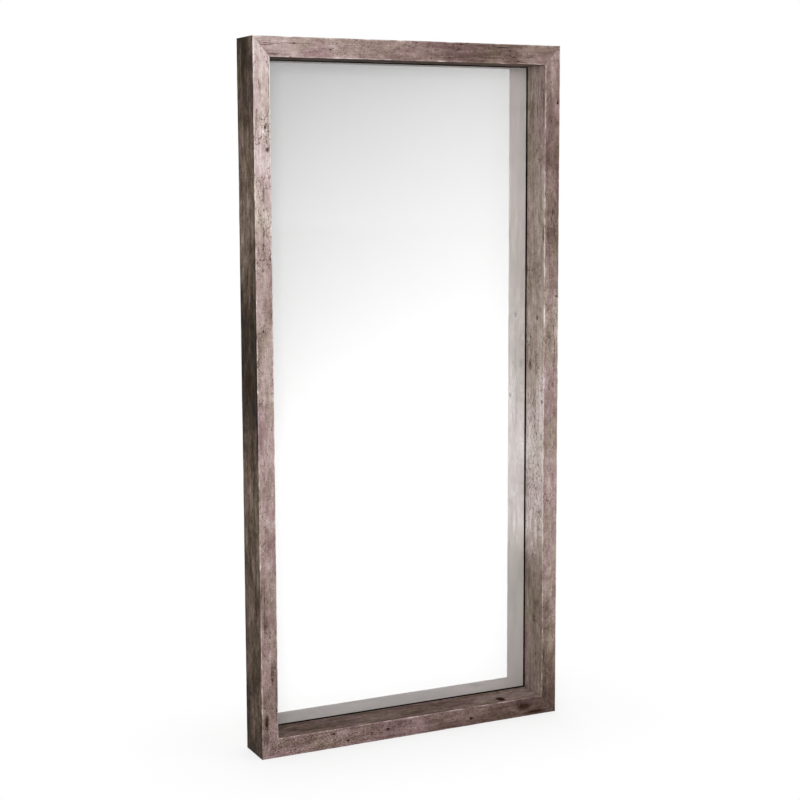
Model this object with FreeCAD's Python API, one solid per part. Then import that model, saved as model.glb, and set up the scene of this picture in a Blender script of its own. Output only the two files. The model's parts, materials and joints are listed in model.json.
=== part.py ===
# Full-length rectangular mirror in a deep mitred timber frame.
# Millimetres. X runs to the viewer's right, Y from the front face towards the wall, Z up.
# The origin is the centre of the bottom rail's underside, which stands on the floor.
import FreeCAD, Part
import math
import os

V = FreeCAD.Vector
ORIGIN = V(0, 0, 0)
X_AXIS = V(1, 0, 0)
Y_AXIS = V(0, 1, 0)
Z_AXIS = V(0, 0, 1)
HALF_TURN = 180.0
QUARTER_TURN = 90.0

# The frame as a whole
frame_height = 1650.0
frame_width = 790.0
frame_depth = 100.0

# The boards: the stiles' faces are a little narrower than the rails'
stile_face_width = 40.5
rail_face_width = 46.0
glass_rebate_width = 8.0
panel_rebate_width = 18.0
front_arris_radius = 1.5
back_arris_radius = 1.0

# The loose tongue that keys each mitre
tongue_thickness = 8.0
tongue_width = 50.0
tongue_length = 28.0
tongue_edge_radius = 3.5
tongue_fit_gap = 0.1

# The mirror glass and what beds it
glass_thickness = 4.0
glass_edge_gap = 2.0
glass_edge_bevel = 0.6
film_thickness = 0.3
film_inset = 1.5
glazing_tape_thickness = 1.0
glazing_tape_setback = 1.5
setting_block_length = 60.0
setting_block_centre_distance = 200.0
side_shim_length = 40.0
side_shim_end_distance = 300.0
foam_tape_thickness = 1.2
foam_tape_width = 25.0
foam_tape_edge_distance = 60.0
foam_tape_end_distance = 60.0
foam_tape_count = 4

# The board that closes the back
back_panel_thickness = 6.0
back_panel_recess = 3.0
back_panel_edge_gap = 0.5
back_panel_corner_radius = 2.0
panel_screw_end_distance = 115.0
panel_screws_per_stile = 6
panel_screws_per_rail = 3

# The flat steel bracket across the back of each mitre
bracket_arm_length = 70.0
bracket_arm_width = 15.0
bracket_thickness = 2.0
bracket_edge_distance = 4.0
bracket_corner_radius = 2.5
bracket_hole_end_distance = 10.0
bracket_hole_pitch = 30.0

# The wood screws
screw_shank_radius = 1.75
screw_length = 20.0
screw_tip_length = 4.0
screw_head_radius = 3.3
screw_head_height = 1.9
screw_fit_gap = 0.1
pan_head_radius = 3.4
pan_head_height = 2.0
cross_slot_length = 3.6
cross_slot_width = 0.8
cross_slot_depth = 1.0

# The strap hangers and their rings
hanger_drop = 330.0
hanger_edge_distance = 14.0
strap_thickness = 1.2
strap_width = 12.0
strap_length = 46.0
strap_end_radius = 3.0
ring_wire_radius = 1.25
ring_running_gap = 0.08
ring_side_gap = 1.0
ring_corner_radius = 2.5
ring_rest_tilt = 8.0
hanger_screw_first_distance = 23.0
hanger_screw_pitch = 15.0

# The rubber bumpers that keep the frame off the wall
bumper_height = 7.0
bumper_base_radius = 9.0
bumper_top_radius = 8.0
bumper_edge_radius = 1.2
bumper_end_distance = 110.0

# How far a cutting shape runs past what it cuts
overrun = 5.0

# Places that follow from the sizes above
front_y = -frame_depth / 2
back_y = frame_depth / 2
half_width = frame_width / 2
panel_back_y = back_y - back_panel_recess
panel_front_y = panel_back_y - back_panel_thickness
film_back_y = panel_front_y - foam_tape_thickness
glass_back_y = film_back_y - film_thickness
glass_front_y = glass_back_y - glass_thickness
ledge_y = glass_front_y - glazing_tape_thickness
stile_land_width = stile_face_width - panel_rebate_width
rail_land_width = rail_face_width - panel_rebate_width
panel_ledge_width = panel_rebate_width - glass_rebate_width

CORNERS = {
    "top_left": (-1, True),
    "top_right": (1, True),
    "bottom_left": (-1, False),
    "bottom_right": (1, False),
}


def box_between(low, high):
    """A box from its lowest to its highest corner."""
    size = high - low
    return Part.makeBox(size.x, size.y, size.z, low)


def sheet(outset, low_y, high_y):
    """A sheet parallel to the wall that reaches the given distance past the frame's inner edges."""
    side = half_width - stile_face_width + outset
    low_z = rail_face_width - outset
    return box_between(V(-side, low_y, low_z), V(side, high_y, frame_height - low_z))


def upright_edges(shape, length):
    """The straight edges of a flat shape that run through its thickness along Y."""
    return [edge for edge in shape.Edges if edge.BoundBox.YLength > length / 2]


def spaced(first, last, count):
    """Evenly spaced places from the first to the last."""
    return [first + (last - first) * index / (count - 1) for index in range(count)]


def rounded_corner(corner, before, after, radius):
    """The arc that eases a section's corner, between the points before it and after it."""
    start = corner + (before - corner).normalize() * radius
    end = corner + (after - corner).normalize() * radius
    centre = start + (after - corner).normalize() * radius
    middle = centre + (corner - centre).normalize() * radius
    return start, middle, end


def board_section(face_width):
    """A board's section at the left of the frame: lip to the front, two stepped rebates behind."""
    outer_x = -half_width
    inner_x = outer_x + face_width
    glass_wall_x = inner_x - glass_rebate_width
    panel_wall_x = inner_x - panel_rebate_width
    corners = [
        (V(outer_x, front_y, 0), front_arris_radius),
        (V(outer_x, back_y, 0), back_arris_radius),
        (V(panel_wall_x, back_y, 0), 0),
        (V(panel_wall_x, panel_front_y, 0), 0),
        (V(glass_wall_x, panel_front_y, 0), 0),
        (V(glass_wall_x, ledge_y, 0), 0),
        (V(inner_x, ledge_y, 0), 0),
        (V(inner_x, front_y, 0), front_arris_radius),
    ]
    count = len(corners)
    edges = []
    stops = []
    for index, (corner, radius) in enumerate(corners):
        before = corners[index - 1][0]
        after = corners[(index + 1) % count][0]
        if radius:
            start, middle, end = rounded_corner(corner, before, after, radius)
            edges.append(Part.Arc(start, middle, end).toShape())
            stops.append((start, end))
        else:
            stops.append((corner, corner))
    for index in range(count):
        edges.append(Part.makeLine(stops[index][1], stops[(index + 1) % count][0]))
    return Part.Face(Part.Wire(Part.__sortEdges__(edges)))


def mitred_board(face_width, next_face_width, low, high):
    """A board at the left of the frame from low to high along Z, its ends cut on the mitre lines.

    Each mitre line runs from the frame's outer corner to its inner corner, and is carried one
    face width past both.
    """
    section = board_section(face_width)
    section.translate(Z_AXIS * low)
    blank = section.extrude(Z_AXIS * (high - low))
    past_out = -half_width - face_width
    past_in = -half_width + 2 * face_width
    outline = [
        V(past_out, front_y - overrun, low - next_face_width),
        V(past_in, front_y - overrun, low + 2 * next_face_width),
        V(past_in, front_y - overrun, high - 2 * next_face_width),
        V(past_out, front_y - overrun, high + next_face_width),
    ]
    wedge = Part.Face(Part.makePolygon(outline + outline[:1]))
    return blank.common(wedge.extrude(Y_AXIS * (frame_depth + 2 * overrun)))


def stile(sign_x):
    """An upright board of the frame."""
    board = mitred_board(stile_face_width, rail_face_width, 0, frame_height)
    return board if sign_x < 0 else board.mirror(ORIGIN, X_AXIS)


def rail(at_top):
    """A level board of the frame: made like a stile, then laid on its side."""
    board = mitred_board(rail_face_width, stile_face_width, -half_width, half_width)
    board.rotate(ORIGIN, Y_AXIS, -QUARTER_TURN)
    board.translate(Z_AXIS * half_width)
    return board.mirror(Z_AXIS * (frame_height / 2), Z_AXIS) if at_top else board


def in_from_corner(corner, across, up):
    """A point the given distances in from a corner of the frame, at the middle of its depth."""
    sign_x, at_top = corner
    return V(sign_x * (half_width - across), 0, frame_height - up if at_top else up)


def tongue(corner, gap=0):
    """The loose tongue across a mitre. With a gap, the mortise that it fills."""
    sign_x, at_top = corner
    thickness = tongue_thickness + 2 * gap
    width = tongue_width + 2 * gap
    length = tongue_length + 2 * gap
    shape = Part.makeBox(length, width, thickness, V(-length / 2, -width / 2, -thickness / 2))
    long_edges = [edge for edge in shape.Edges if edge.BoundBox.XLength > length / 2]
    shape = shape.makeFillet(tongue_edge_radius, long_edges)
    mitre_slope = math.degrees(math.atan2(rail_face_width, stile_face_width))
    leans_left = (sign_x < 0) == at_top
    shape.rotate(ORIGIN, Y_AXIS, mitre_slope - QUARTER_TURN if leans_left else QUARTER_TURN - mitre_slope)
    middle = in_from_corner(corner, stile_face_width / 2, rail_face_width / 2)
    shape.translate(V(middle.x, (front_y + ledge_y) / 2, middle.z))
    return shape


def cross_slot(face_y):
    """The cross recess of a screw head whose top is at the given place along Y."""
    low_y = face_y - cross_slot_depth
    high_y = face_y + overrun
    half_length = cross_slot_length / 2
    half_slot = cross_slot_width / 2
    upright = box_between(V(-half_slot, low_y, -half_length), V(half_slot, high_y, half_length))
    level = box_between(V(-half_length, low_y, -half_slot), V(half_length, high_y, half_slot))
    return upright.fuse(level)


def screw_shank(gap):
    """The shank and tip of a wood screw, driven along -Y from the origin."""
    radius = screw_shank_radius + gap
    length = screw_length - screw_tip_length
    shank = Part.makeCylinder(radius, length, ORIGIN, -Y_AXIS)
    tip = Part.makeCone(radius, 0, screw_tip_length + gap, -Y_AXIS * length, -Y_AXIS)
    return shank.fuse(tip)


def countersunk_screw(gap=0):
    """A countersunk wood screw, the top of its head at the origin. With a gap, its hole."""
    radius = screw_head_radius + gap
    head = Part.makeCone(radius, screw_shank_radius + gap, screw_head_height, ORIGIN, -Y_AXIS)
    screw = head.fuse(screw_shank(gap))
    if gap:
        return screw.fuse(Part.makeCylinder(radius, overrun, ORIGIN, Y_AXIS))
    return screw.cut(cross_slot(0)).removeSplitter()


def pan_head_screw(gap=0):
    """A pan-head wood screw that bears on the origin's plane. With a gap, its hole."""
    if gap:
        mouth = Part.makeCylinder(screw_shank_radius + gap, overrun, ORIGIN, Y_AXIS)
        return screw_shank(gap).fuse(mouth)
    head = Part.makeCylinder(pan_head_radius, pan_head_height, ORIGIN, Y_AXIS)
    rim = [edge for edge in head.Edges if edge.BoundBox.YMin > pan_head_height / 2]
    head = head.makeFillet(pan_head_height / 2, rim)
    return head.fuse(screw_shank(0)).cut(cross_slot(pan_head_height)).removeSplitter()


def placed_copies(shape, points):
    """A copy of the shape at each of the points."""
    copies = []
    for point in points:
        copy = shape.copy()
        copy.translate(point)
        copies.append(copy)
    return copies


def bracket_screw_points(corner):
    """Where the four screws of a corner bracket have their heads' tops."""
    head_y = back_y + bracket_thickness
    middle = bracket_edge_distance + bracket_arm_width / 2
    points = []
    for index in range(2):
        along = bracket_edge_distance + bracket_arm_length - bracket_hole_end_distance - index * bracket_hole_pitch
        points.append(in_from_corner(corner, middle, along) + Y_AXIS * head_y)
        points.append(in_from_corner(corner, along, middle) + Y_AXIS * head_y)
    return points


def corner_bracket(corner):
    """A flat L of steel across a mitre on the frame's back, with four countersunk holes."""
    sign_x, at_top = corner
    length = bracket_arm_length
    width = bracket_arm_width
    outline = [
        V(0, back_y, 0),
        V(length, back_y, 0),
        V(length, back_y, width),
        V(width, back_y, width),
        V(width, back_y, length),
        V(0, back_y, length),
    ]
    plate = Part.Face(Part.makePolygon(outline + outline[:1])).extrude(Y_AXIS * bracket_thickness)
    plate = plate.makeFillet(bracket_corner_radius, upright_edges(plate, bracket_thickness))
    if sign_x > 0:
        plate = plate.mirror(ORIGIN, X_AXIS)
    if at_top:
        plate = plate.mirror(ORIGIN, Z_AXIS)
    plate.translate(in_from_corner(corner, bracket_edge_distance, bracket_edge_distance))
    return plate.cut(placed_copies(countersunk_screw(screw_fit_gap), bracket_screw_points(corner)))


def panel_screw_points():
    """Where the back panel's screws have their heads' tops, all round its edge."""
    across = stile_land_width + panel_ledge_width / 2
    up = rail_land_width + panel_ledge_width / 2
    far_x = half_width - panel_screw_end_distance
    far_z = frame_height - panel_screw_end_distance
    points = []
    for z in spaced(panel_screw_end_distance, far_z, panel_screws_per_stile):
        for sign_x in (-1, 1):
            points.append(V(sign_x * (half_width - across), panel_back_y, z))
    for x in spaced(-far_x, far_x, panel_screws_per_rail):
        for z in (up, frame_height - up):
            points.append(V(x, panel_back_y, z))
    return points


def mirror_glass():
    """The pane, its front arris bevelled all round."""
    pane = sheet(glass_rebate_width - glass_edge_gap, glass_front_y, glass_back_y)
    front_edges = [edge for edge in pane.Edges if edge.BoundBox.YMax < glass_front_y + glass_edge_bevel]
    return pane.makeChamfer(glass_edge_bevel, front_edges)


def safety_film():
    """The film bonded over the silvered back of the pane."""
    return sheet(glass_rebate_width - glass_edge_gap - film_inset, glass_back_y, film_back_y)


def glazing_tape():
    """A thin dark tape between the lip and the pane, set back out of sight."""
    outer = sheet(glass_rebate_width - glass_edge_gap, ledge_y, glass_front_y)
    inner = sheet(glazing_tape_setback, ledge_y - overrun, glass_front_y + overrun)
    return outer.cut(inner)


def setting_blocks():
    """The two blocks that the pane's lower edge stands on."""
    top_z = rail_face_width - glass_rebate_width + glass_edge_gap
    blocks = []
    for sign_x in (-1, 1):
        left = sign_x * setting_block_centre_distance - setting_block_length / 2
        low = V(left, glass_front_y, top_z - glass_edge_gap)
        blocks.append(box_between(low, V(left + setting_block_length, glass_back_y, top_z)))
    return Part.makeCompound(blocks)


def side_shims():
    """Two shims on each side that keep the pane in the middle of its rebate."""
    shims = []
    for sign_x in (-1, 1):
        wall_x = sign_x * (half_width - stile_face_width + glass_rebate_width)
        low_x = min(wall_x, wall_x - sign_x * glass_edge_gap)
        for z in (side_shim_end_distance, frame_height - side_shim_end_distance):
            low = V(low_x, glass_front_y, z - side_shim_length / 2)
            high = V(low_x + glass_edge_gap, glass_back_y, z + side_shim_length / 2)
            shims.append(box_between(low, high))
    return Part.makeCompound(shims)


def foam_tapes():
    """Upright strips of foam tape between the pane's film and the back panel."""
    inner_half = half_width - stile_face_width
    far = inner_half - foam_tape_edge_distance
    low_z = rail_face_width + foam_tape_end_distance
    strips = []
    for x in spaced(-far, far, foam_tape_count):
        low = V(x - foam_tape_width / 2, film_back_y, low_z)
        high = V(x + foam_tape_width / 2, panel_front_y, frame_height - low_z)
        strips.append(box_between(low, high))
    return Part.makeCompound(strips)


def back_panel(screw_holes):
    """The board that closes the back, on the second ledge of the frame."""
    panel = sheet(panel_rebate_width - back_panel_edge_gap, panel_front_y, panel_back_y)
    panel = panel.makeFillet(back_panel_corner_radius, upright_edges(panel, back_panel_thickness))
    return panel.cut(screw_holes)


def hanger_centre(sign_x):
    """The axis point of a hanger's ring, on the back of its stile."""
    loop_radius = ring_wire_radius + ring_running_gap + strap_thickness
    x = sign_x * (half_width - hanger_edge_distance)
    return V(x, back_y + loop_radius, frame_height - hanger_drop)


def hanger_screw_points(sign_x):
    """The places where a hanger's two screws bear on its strap."""
    centre = hanger_centre(sign_x)
    bearing_y = back_y + 2 * strap_thickness
    first_z = centre.z - hanger_screw_first_distance
    return [V(centre.x, bearing_y, first_z - index * hanger_screw_pitch) for index in range(2)]


def hanger_strap(sign_x):
    """A strap folded double round the ring's straight side, with two screw holes."""
    centre = hanger_centre(sign_x)
    bore_radius = ring_wire_radius + ring_running_gap
    left = V(centre.x - strap_width / 2, centre.y, centre.z)
    loop = Part.makeCylinder(bore_radius + strap_thickness, strap_width, left, X_AXIS)
    low = V(left.x, back_y, centre.z - strap_length)
    high = V(left.x + strap_width, back_y + 2 * strap_thickness, centre.z)
    leaf = box_between(low, high)
    lower_ends = [edge for edge in upright_edges(leaf, strap_thickness) if edge.BoundBox.ZMax < centre.z - strap_width]
    strap = loop.fuse(leaf.makeFillet(strap_end_radius, lower_ends))
    bore_start = left - X_AXIS * overrun
    bore = Part.makeCylinder(bore_radius, strap_width + 2 * overrun, bore_start, X_AXIS)
    holes = placed_copies(pan_head_screw(screw_fit_gap), hanger_screw_points(sign_x))
    return strap.cut([bore] + holes).removeSplitter()


def wire_bend(centre, start, angle):
    """Ring wire bent about a centre in the ring's plane, from a start point, through an angle."""
    end_face = Part.Face(Part.Wire(Part.makeCircle(ring_wire_radius, start, Z_AXIS)))
    return end_face.revolve(centre, Y_AXIS, angle)


def d_ring(sign_x):
    """A hanger's wire ring: a straight side in the strap's loop, two tight corners and a half circle."""
    half_bar = strap_width / 2 + ring_side_gap
    half_ring = half_bar + ring_corner_radius
    bend_z = -ring_corner_radius
    bar = Part.makeCylinder(ring_wire_radius, 2 * half_bar, V(-half_bar, 0, 0), X_AXIS)
    right = wire_bend(V(half_bar, 0, bend_z), V(half_ring, 0, bend_z), -QUARTER_TURN)
    left = wire_bend(V(-half_bar, 0, bend_z), V(-half_ring, 0, bend_z), QUARTER_TURN)
    bow = wire_bend(V(0, 0, bend_z), V(half_ring, 0, bend_z), HALF_TURN)
    ring = bar.fuse([right, left, bow]).removeSplitter()
    ring.rotate(ORIGIN, X_AXIS, ring_rest_tilt)
    ring.translate(hanger_centre(sign_x))
    return ring


def wall_bumper(corner):
    """A round rubber bumper stuck to the back of a stile."""
    bumper = Part.makeCone(bumper_base_radius, bumper_top_radius, bumper_height, ORIGIN, Y_AXIS)
    rim = [edge for edge in bumper.Edges if edge.BoundBox.YMin > bumper_height / 2]
    bumper = bumper.makeFillet(bumper_edge_radius, rim)
    place = in_from_corner(corner, stile_land_width / 2, bumper_end_distance)
    bumper.translate(place + Y_AXIS * back_y)
    return bumper


def build_nodes():
    """Every piece of the mirror by name."""
    bracket_points = [point for corner in CORNERS.values() for point in bracket_screw_points(corner)]
    hanger_points = hanger_screw_points(-1) + hanger_screw_points(1)
    panel_holes = placed_copies(countersunk_screw(screw_fit_gap), panel_screw_points())
    holes = panel_holes + placed_copies(countersunk_screw(screw_fit_gap), bracket_points)
    holes += placed_copies(pan_head_screw(screw_fit_gap), hanger_points)
    holes += [tongue(corner, tongue_fit_gap) for corner in CORNERS.values()]

    nodes = {
        "left_stile": stile(-1).cut(holes),
        "right_stile": stile(1).cut(holes),
        "top_rail": rail(True).cut(holes),
        "bottom_rail": rail(False).cut(holes),
        "mirror_glass": mirror_glass(),
        "safety_film": safety_film(),
        "glazing_tape": glazing_tape(),
        "setting_blocks": setting_blocks(),
        "side_shims": side_shims(),
        "foam_tapes": foam_tapes(),
        "back_panel": back_panel(panel_holes),
        "back_panel_screws": Part.makeCompound(placed_copies(countersunk_screw(), panel_screw_points())),
        "bracket_screws": Part.makeCompound(placed_copies(countersunk_screw(), bracket_points)),
        "hanger_screws": Part.makeCompound(placed_copies(pan_head_screw(), hanger_points)),
    }
    for name, corner in CORNERS.items():
        nodes[name + "_mitre_tongue"] = tongue(corner)
        nodes[name + "_bracket"] = corner_bracket(corner)
        nodes[name + "_wall_bumper"] = wall_bumper(corner)
    for side, sign_x in (("left", -1), ("right", 1)):
        nodes[side + "_hanger_strap"] = hanger_strap(sign_x)
        nodes[side + "_hanging_ring"] = d_ring(sign_x)
    return nodes


os.makedirs("parts", exist_ok=True)
for node_name, node_shape in build_nodes().items():
    node_shape.exportStep("parts/" + node_name + ".step")
    print(node_name, len(node_shape.Solids), "solid(s)", round(node_shape.Volume), "mm3", node_shape.isValid())
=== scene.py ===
# %% [markdown]
# # A tall mirror in a deep frame of old timber
#
# The real object is four mitred boards of grey-brown reclaimed wood, made up as a box frame, with the
# mirror set almost at the back of it. What the eye reads first is the wood: blotched, finely crackled,
# split along the grain, sawn across it, worn pale along its edges. Next comes the mirror, with a thin
# dark line where the glass disappears behind the frame.
#
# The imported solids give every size. This script reads them, measures them, and puts finished surfaces
# over them.

# %% Load the solids and keep their box
import itertools
import json
import math
import bpy
import numpy as np
from mathutils import Euler, Matrix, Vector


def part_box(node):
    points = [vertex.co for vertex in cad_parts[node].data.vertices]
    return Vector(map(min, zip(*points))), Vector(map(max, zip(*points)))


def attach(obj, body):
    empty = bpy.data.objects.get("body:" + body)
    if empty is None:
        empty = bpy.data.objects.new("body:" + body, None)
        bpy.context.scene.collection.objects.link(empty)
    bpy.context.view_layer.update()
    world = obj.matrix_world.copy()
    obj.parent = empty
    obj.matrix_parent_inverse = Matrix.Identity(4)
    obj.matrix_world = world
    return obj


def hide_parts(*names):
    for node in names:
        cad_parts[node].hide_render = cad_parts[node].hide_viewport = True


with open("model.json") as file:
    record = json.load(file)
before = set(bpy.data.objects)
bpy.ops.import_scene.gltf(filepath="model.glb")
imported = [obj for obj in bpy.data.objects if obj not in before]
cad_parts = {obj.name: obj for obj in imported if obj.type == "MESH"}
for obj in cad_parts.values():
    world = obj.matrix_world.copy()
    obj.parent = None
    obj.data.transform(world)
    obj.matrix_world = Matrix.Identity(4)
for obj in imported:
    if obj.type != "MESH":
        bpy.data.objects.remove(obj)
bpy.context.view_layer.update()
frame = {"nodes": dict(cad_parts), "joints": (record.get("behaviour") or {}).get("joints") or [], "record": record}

# %% [markdown]
# ## Measuring the solids
#
# A board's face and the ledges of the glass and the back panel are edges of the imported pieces' boxes.
# Only the gaps that the pane and the back panel have in their rebates are given.

# %% Read the main sizes
MM = 0.001
X, Y, Z = 0, 1, 2

left_low, left_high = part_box("left_stile")
sill_low, sill_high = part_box("bottom_rail")
pane_low, pane_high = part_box("mirror_glass")
tape_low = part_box("glazing_tape")[0]
panel_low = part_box("back_panel")[0]

HALF_WIDTH = -left_low[X]
HEIGHT = left_high[Z]
FRONT = left_low[Y]
BACK = left_high[Y]
STILE_FACE = left_high[X] - left_low[X]
RAIL_FACE = sill_high[Z] - sill_low[Z]
LEDGE = tape_low[Y]
PANEL_LEDGE = panel_low[Y]
PANE_CLEARANCE = 2 * MM
PANEL_CLEARANCE = 0.5 * MM
PANE_OVERLAP = STILE_FACE - HALF_WIDTH - pane_low[X] + PANE_CLEARANCE
PANEL_OVERLAP = STILE_FACE - HALF_WIDTH - panel_low[X] + PANEL_CLEARANCE
print("faces", STILE_FACE, RAIL_FACE, "ledge", LEDGE, "rebates", PANE_OVERLAP, PANEL_OVERLAP)

# %% [markdown]
# ## The camera
#
# The photograph was taken from the left, a little below the top of the mirror, with a long lens that
# shifts. So large a shift would cut the top off every other view, so most of it is a gentle downward
# tilt here.

# %% Camera
CAMERA_PLACE = (-1.7354, -3.5241, 1.3443)
CAMERA_TURN = math.radians(-26.05)
CAMERA_TILT = math.radians(-6.908)
CAMERA_ROLL = math.radians(-0.217)
CAMERA_LENS = 74.76
CAMERA_SENSOR = 36
CAMERA_SHIFT = -0.03


def new_object(name, data):
    """An object of the scene that shows this data."""
    item = bpy.data.objects.new(name, data)
    bpy.context.scene.collection.objects.link(item)
    return item


camera_data = bpy.data.cameras.new("camera")
camera_data.lens = CAMERA_LENS
camera_data.sensor_width = CAMERA_SENSOR
camera_data.shift_y = CAMERA_SHIFT
camera = new_object("camera", camera_data)
aimed = Euler((math.pi / 2 + CAMERA_TILT, 0, CAMERA_TURN)).to_matrix()
camera.location = CAMERA_PLACE
camera.rotation_euler = (aimed @ Matrix.Rotation(CAMERA_ROLL, 3, "Z")).to_euler()
bpy.context.scene.camera = camera
print("camera at", CAMERA_PLACE, "lens", CAMERA_LENS)

# %% [markdown]
# ## Writing materials as sums
#
# A material is a chain of nodes, and a chain is hard to read. `Wire` wraps a socket so that ordinary
# arithmetic adds the Math nodes. `Bench` is a material being made. Its method `node` adds any other node
# from its type, its settings and what goes into its sockets, and the rest are the nodes in most use.

# %% Wire
def operator(operation):
    """A method that adds the Math node of that operation."""
    return lambda wire, other: wire.maths(operation, other)


class Wire:
    """A number or colour on its way through a material. Arithmetic on a number adds Math nodes."""

    def __init__(self, bench, socket):
        self.bench = bench
        self.socket = socket

    def maths(self, operation, *values):
        """The Math node of that operation, with this wire first."""
        inputs = dict(enumerate((self,) + values))
        return self.bench.node("ShaderNodeMath", {"operation": operation}, inputs)

    __add__ = __radd__ = operator("ADD")
    __mul__ = __rmul__ = operator("MULTIPLY")
    __sub__ = operator("SUBTRACT")
    __truediv__ = operator("DIVIDE")
    __pow__ = operator("POWER")
    at_least = operator("MAXIMUM")
    at_most = operator("MINIMUM")

    def __rsub__(self, other):
        return self * -1.0 + other

    def __abs__(self):
        return self.maths("ABSOLUTE")

    def kept(self, low=0.0, high=1.0):
        """The number, held between low and high."""
        return self.at_least(low).at_most(high)

    def swing(self, size):
        """How far a noise is from 0.5, its middle value, times a size."""
        return (self - 0.5) * size

    def step(self, start, end):
        """Smoothly 0 before start and 1 after end. With start above end it falls instead."""
        inputs = {"Value": self, "From Min": start, "From Max": end}
        return self.bench.node("ShaderNodeMapRange", {"interpolation_type": "SMOOTHSTEP"}, inputs)


# %% Bench
SHIFT_SHARES = (1.0, 0.7, 1.3)


class Bench:
    """A node tree being wired up, for the world or for a material with its grain along an axis."""

    def __init__(self, owner, grain=Z):
        owner.use_nodes = True
        self.owner = owner
        self.grain = grain
        self.tree = owner.node_tree
        self.tree.nodes.clear()

    def node(self, kind, settings=None, inputs=None, output=0):
        """Adds a node, sets it, fills or links its sockets, and gives the wire of one output."""
        node = self.tree.nodes.new(kind)
        for name, value in (settings or {}).items():
            setattr(node, name, value)
        for name, value in (inputs or {}).items():
            if isinstance(value, Wire):
                self.tree.links.new(value.socket, node.inputs[name])
            else:
                node.inputs[name].default_value = value
        return Wire(self, node.outputs[output]) if len(node.outputs) else None

    def ramp(self, stops, number):
        """The colour of a row of (place, colour) stops at this number."""
        wire = self.node("ShaderNodeValToRGB", {}, {"Fac": number.kept()})
        elements = wire.socket.node.color_ramp.elements
        while len(elements) < len(stops):
            elements.new(1.0)
        for element, (place, shade) in zip(elements, stops):
            element.position = place
            element.color = shade
        return wire

    def coordinates(self):
        """The place of a point in its object, in metres."""
        return self.node("ShaderNodeTexCoord", output="Object")

    def part(self, vector, axis):
        """One of the three numbers of a vector."""
        return self.node("ShaderNodeSeparateXYZ", {}, {0: vector}, axis)

    def red(self, colour):
        """The red of a colour, which is the whole number where the colour is a grey."""
        return self.node("ShaderNodeSeparateColor", {}, {0: colour}, 0)

    def place(self, across, along, shift):
        """Object coordinates, stretched so that a pattern has this many repeats a metre across the
        grain and along it, and shifted, so that no two patterns lie alike."""
        scale = [across, across, across]
        scale[self.grain] = along
        inputs = {"Vector": self.coordinates(), "Scale": scale}
        inputs["Location"] = [shift * share for share in SHIFT_SHARES]
        return self.node("ShaderNodeMapping", {"vector_type": "POINT"}, inputs)

    def noise(self, across, along, shift, detail=3.0, roughness=0.55, twist=0.0):
        """Soft noise from 0 to 1, placed by the first three numbers."""
        inputs = {"Vector": self.place(across, along, shift), "Scale": 1.0}
        inputs |= {"Detail": detail, "Roughness": roughness, "Distortion": twist}
        return self.node("ShaderNodeTexNoise", {}, inputs, "Fac")

    def cells(self, vector, output="Distance", feature="F1"):
        """Random cells: the distance from a cell's middle or edge, or the cell's own random colour."""
        inputs = {"Vector": vector, "Scale": 1.0}
        return self.node("ShaderNodeTexVoronoi", {"feature": feature}, inputs, output)

    def stored(self, name):
        """A number that the mesh itself carries."""
        return self.node("ShaderNodeAttribute", {"attribute_name": name}, {}, "Fac")

    def ray(self, kind):
        """1 for light that is seen this way, as Camera, Glossy or Transmission, and 0 for other light."""
        return self.node("ShaderNodeLightPath", {}, {}, "Is " + kind + " Ray")

    def blend(self, share, first, second):
        """A colour between two colours, whose share is held between 0 and 1 by the node."""
        return self.node("ShaderNodeMix", {"data_type": "RGBA"}, {0: share, 6: first, 7: second}, 2)

    def vector(self, operation, inputs):
        """The Vector Math node of that operation."""
        return self.node("ShaderNodeVectorMath", {"operation": operation}, inputs)

    def bump(self, height, depth):
        """The surface tilted by a height from 0 to 1 that stands for this depth in metres."""
        inputs = {"Height": height, "Distance": depth, "Strength": 1.0}
        return self.node("ShaderNodeBump", {}, inputs, "Normal")

    def finish(self, **sockets):
        """Ends a material in a Principled shader with these sockets, and gives the material."""
        inputs = {name.replace("_", " "): value for name, value in sockets.items()}
        return self.end(self.node("ShaderNodeBsdfPrincipled", {}, inputs))

    def end(self, shader):
        """Joins a shader to the output, and gives the owner."""
        kind = "World" if isinstance(self.owner, bpy.types.World) else "Material"
        self.node("ShaderNodeOutput" + kind, {}, {"Surface": shader})
        return self.owner


def grey(level):
    """A grey of this much light."""
    return (level, level, level, 1.0)


def new_material(name, grain=Z):
    """The bench of a new material."""
    return Bench(bpy.data.materials.new(name), grain)


def colour(red, green, blue):
    """A colour as it is mixed on a screen, from 0 to 255, as the light values that nodes take."""
    shares = [value / 255 for value in (red, green, blue)]
    light = [s / 12.92 if s <= 0.04045 else ((s + 0.055) / 1.055) ** 2.4 for s in shares]
    return (*light, 1.0)


# %% [markdown]
# ## Old timber
#
# Reclaimed pine that has been sawn, sanded and waxed keeps many kinds of mark. Long streaks and splits
# follow the grain. Fine saw marks cross it. Patches and smaller blots are bleached pale or stained brown,
# and a crackle of dark lines with small pits lies over all. In places the face is crazed, with more fine
# cracks and specks. The edges are rubbed pale, partly as wear and partly as a painted highlight along
# the arrises. Each is one noise here, stretched along the board or across it. Their sum says how light
# the wood is, and picks its colour from a row of rosy browns or one of olive browns. How light each side
# is along the board holds painted light too: a painted highlight where a sheen lies on the left stile's
# face and the right stile's inner wall, and painted shade under the top rail. Old wood is dry, so it
# shines far less than fresh varnish would.

# %% The colours of the timber
def even_stops(*colours):
    """Stops of a ramp that are the same distance apart."""
    return [(place / (len(colours) - 1), colour(*shades)) for place, shades in enumerate(colours)]


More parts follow.
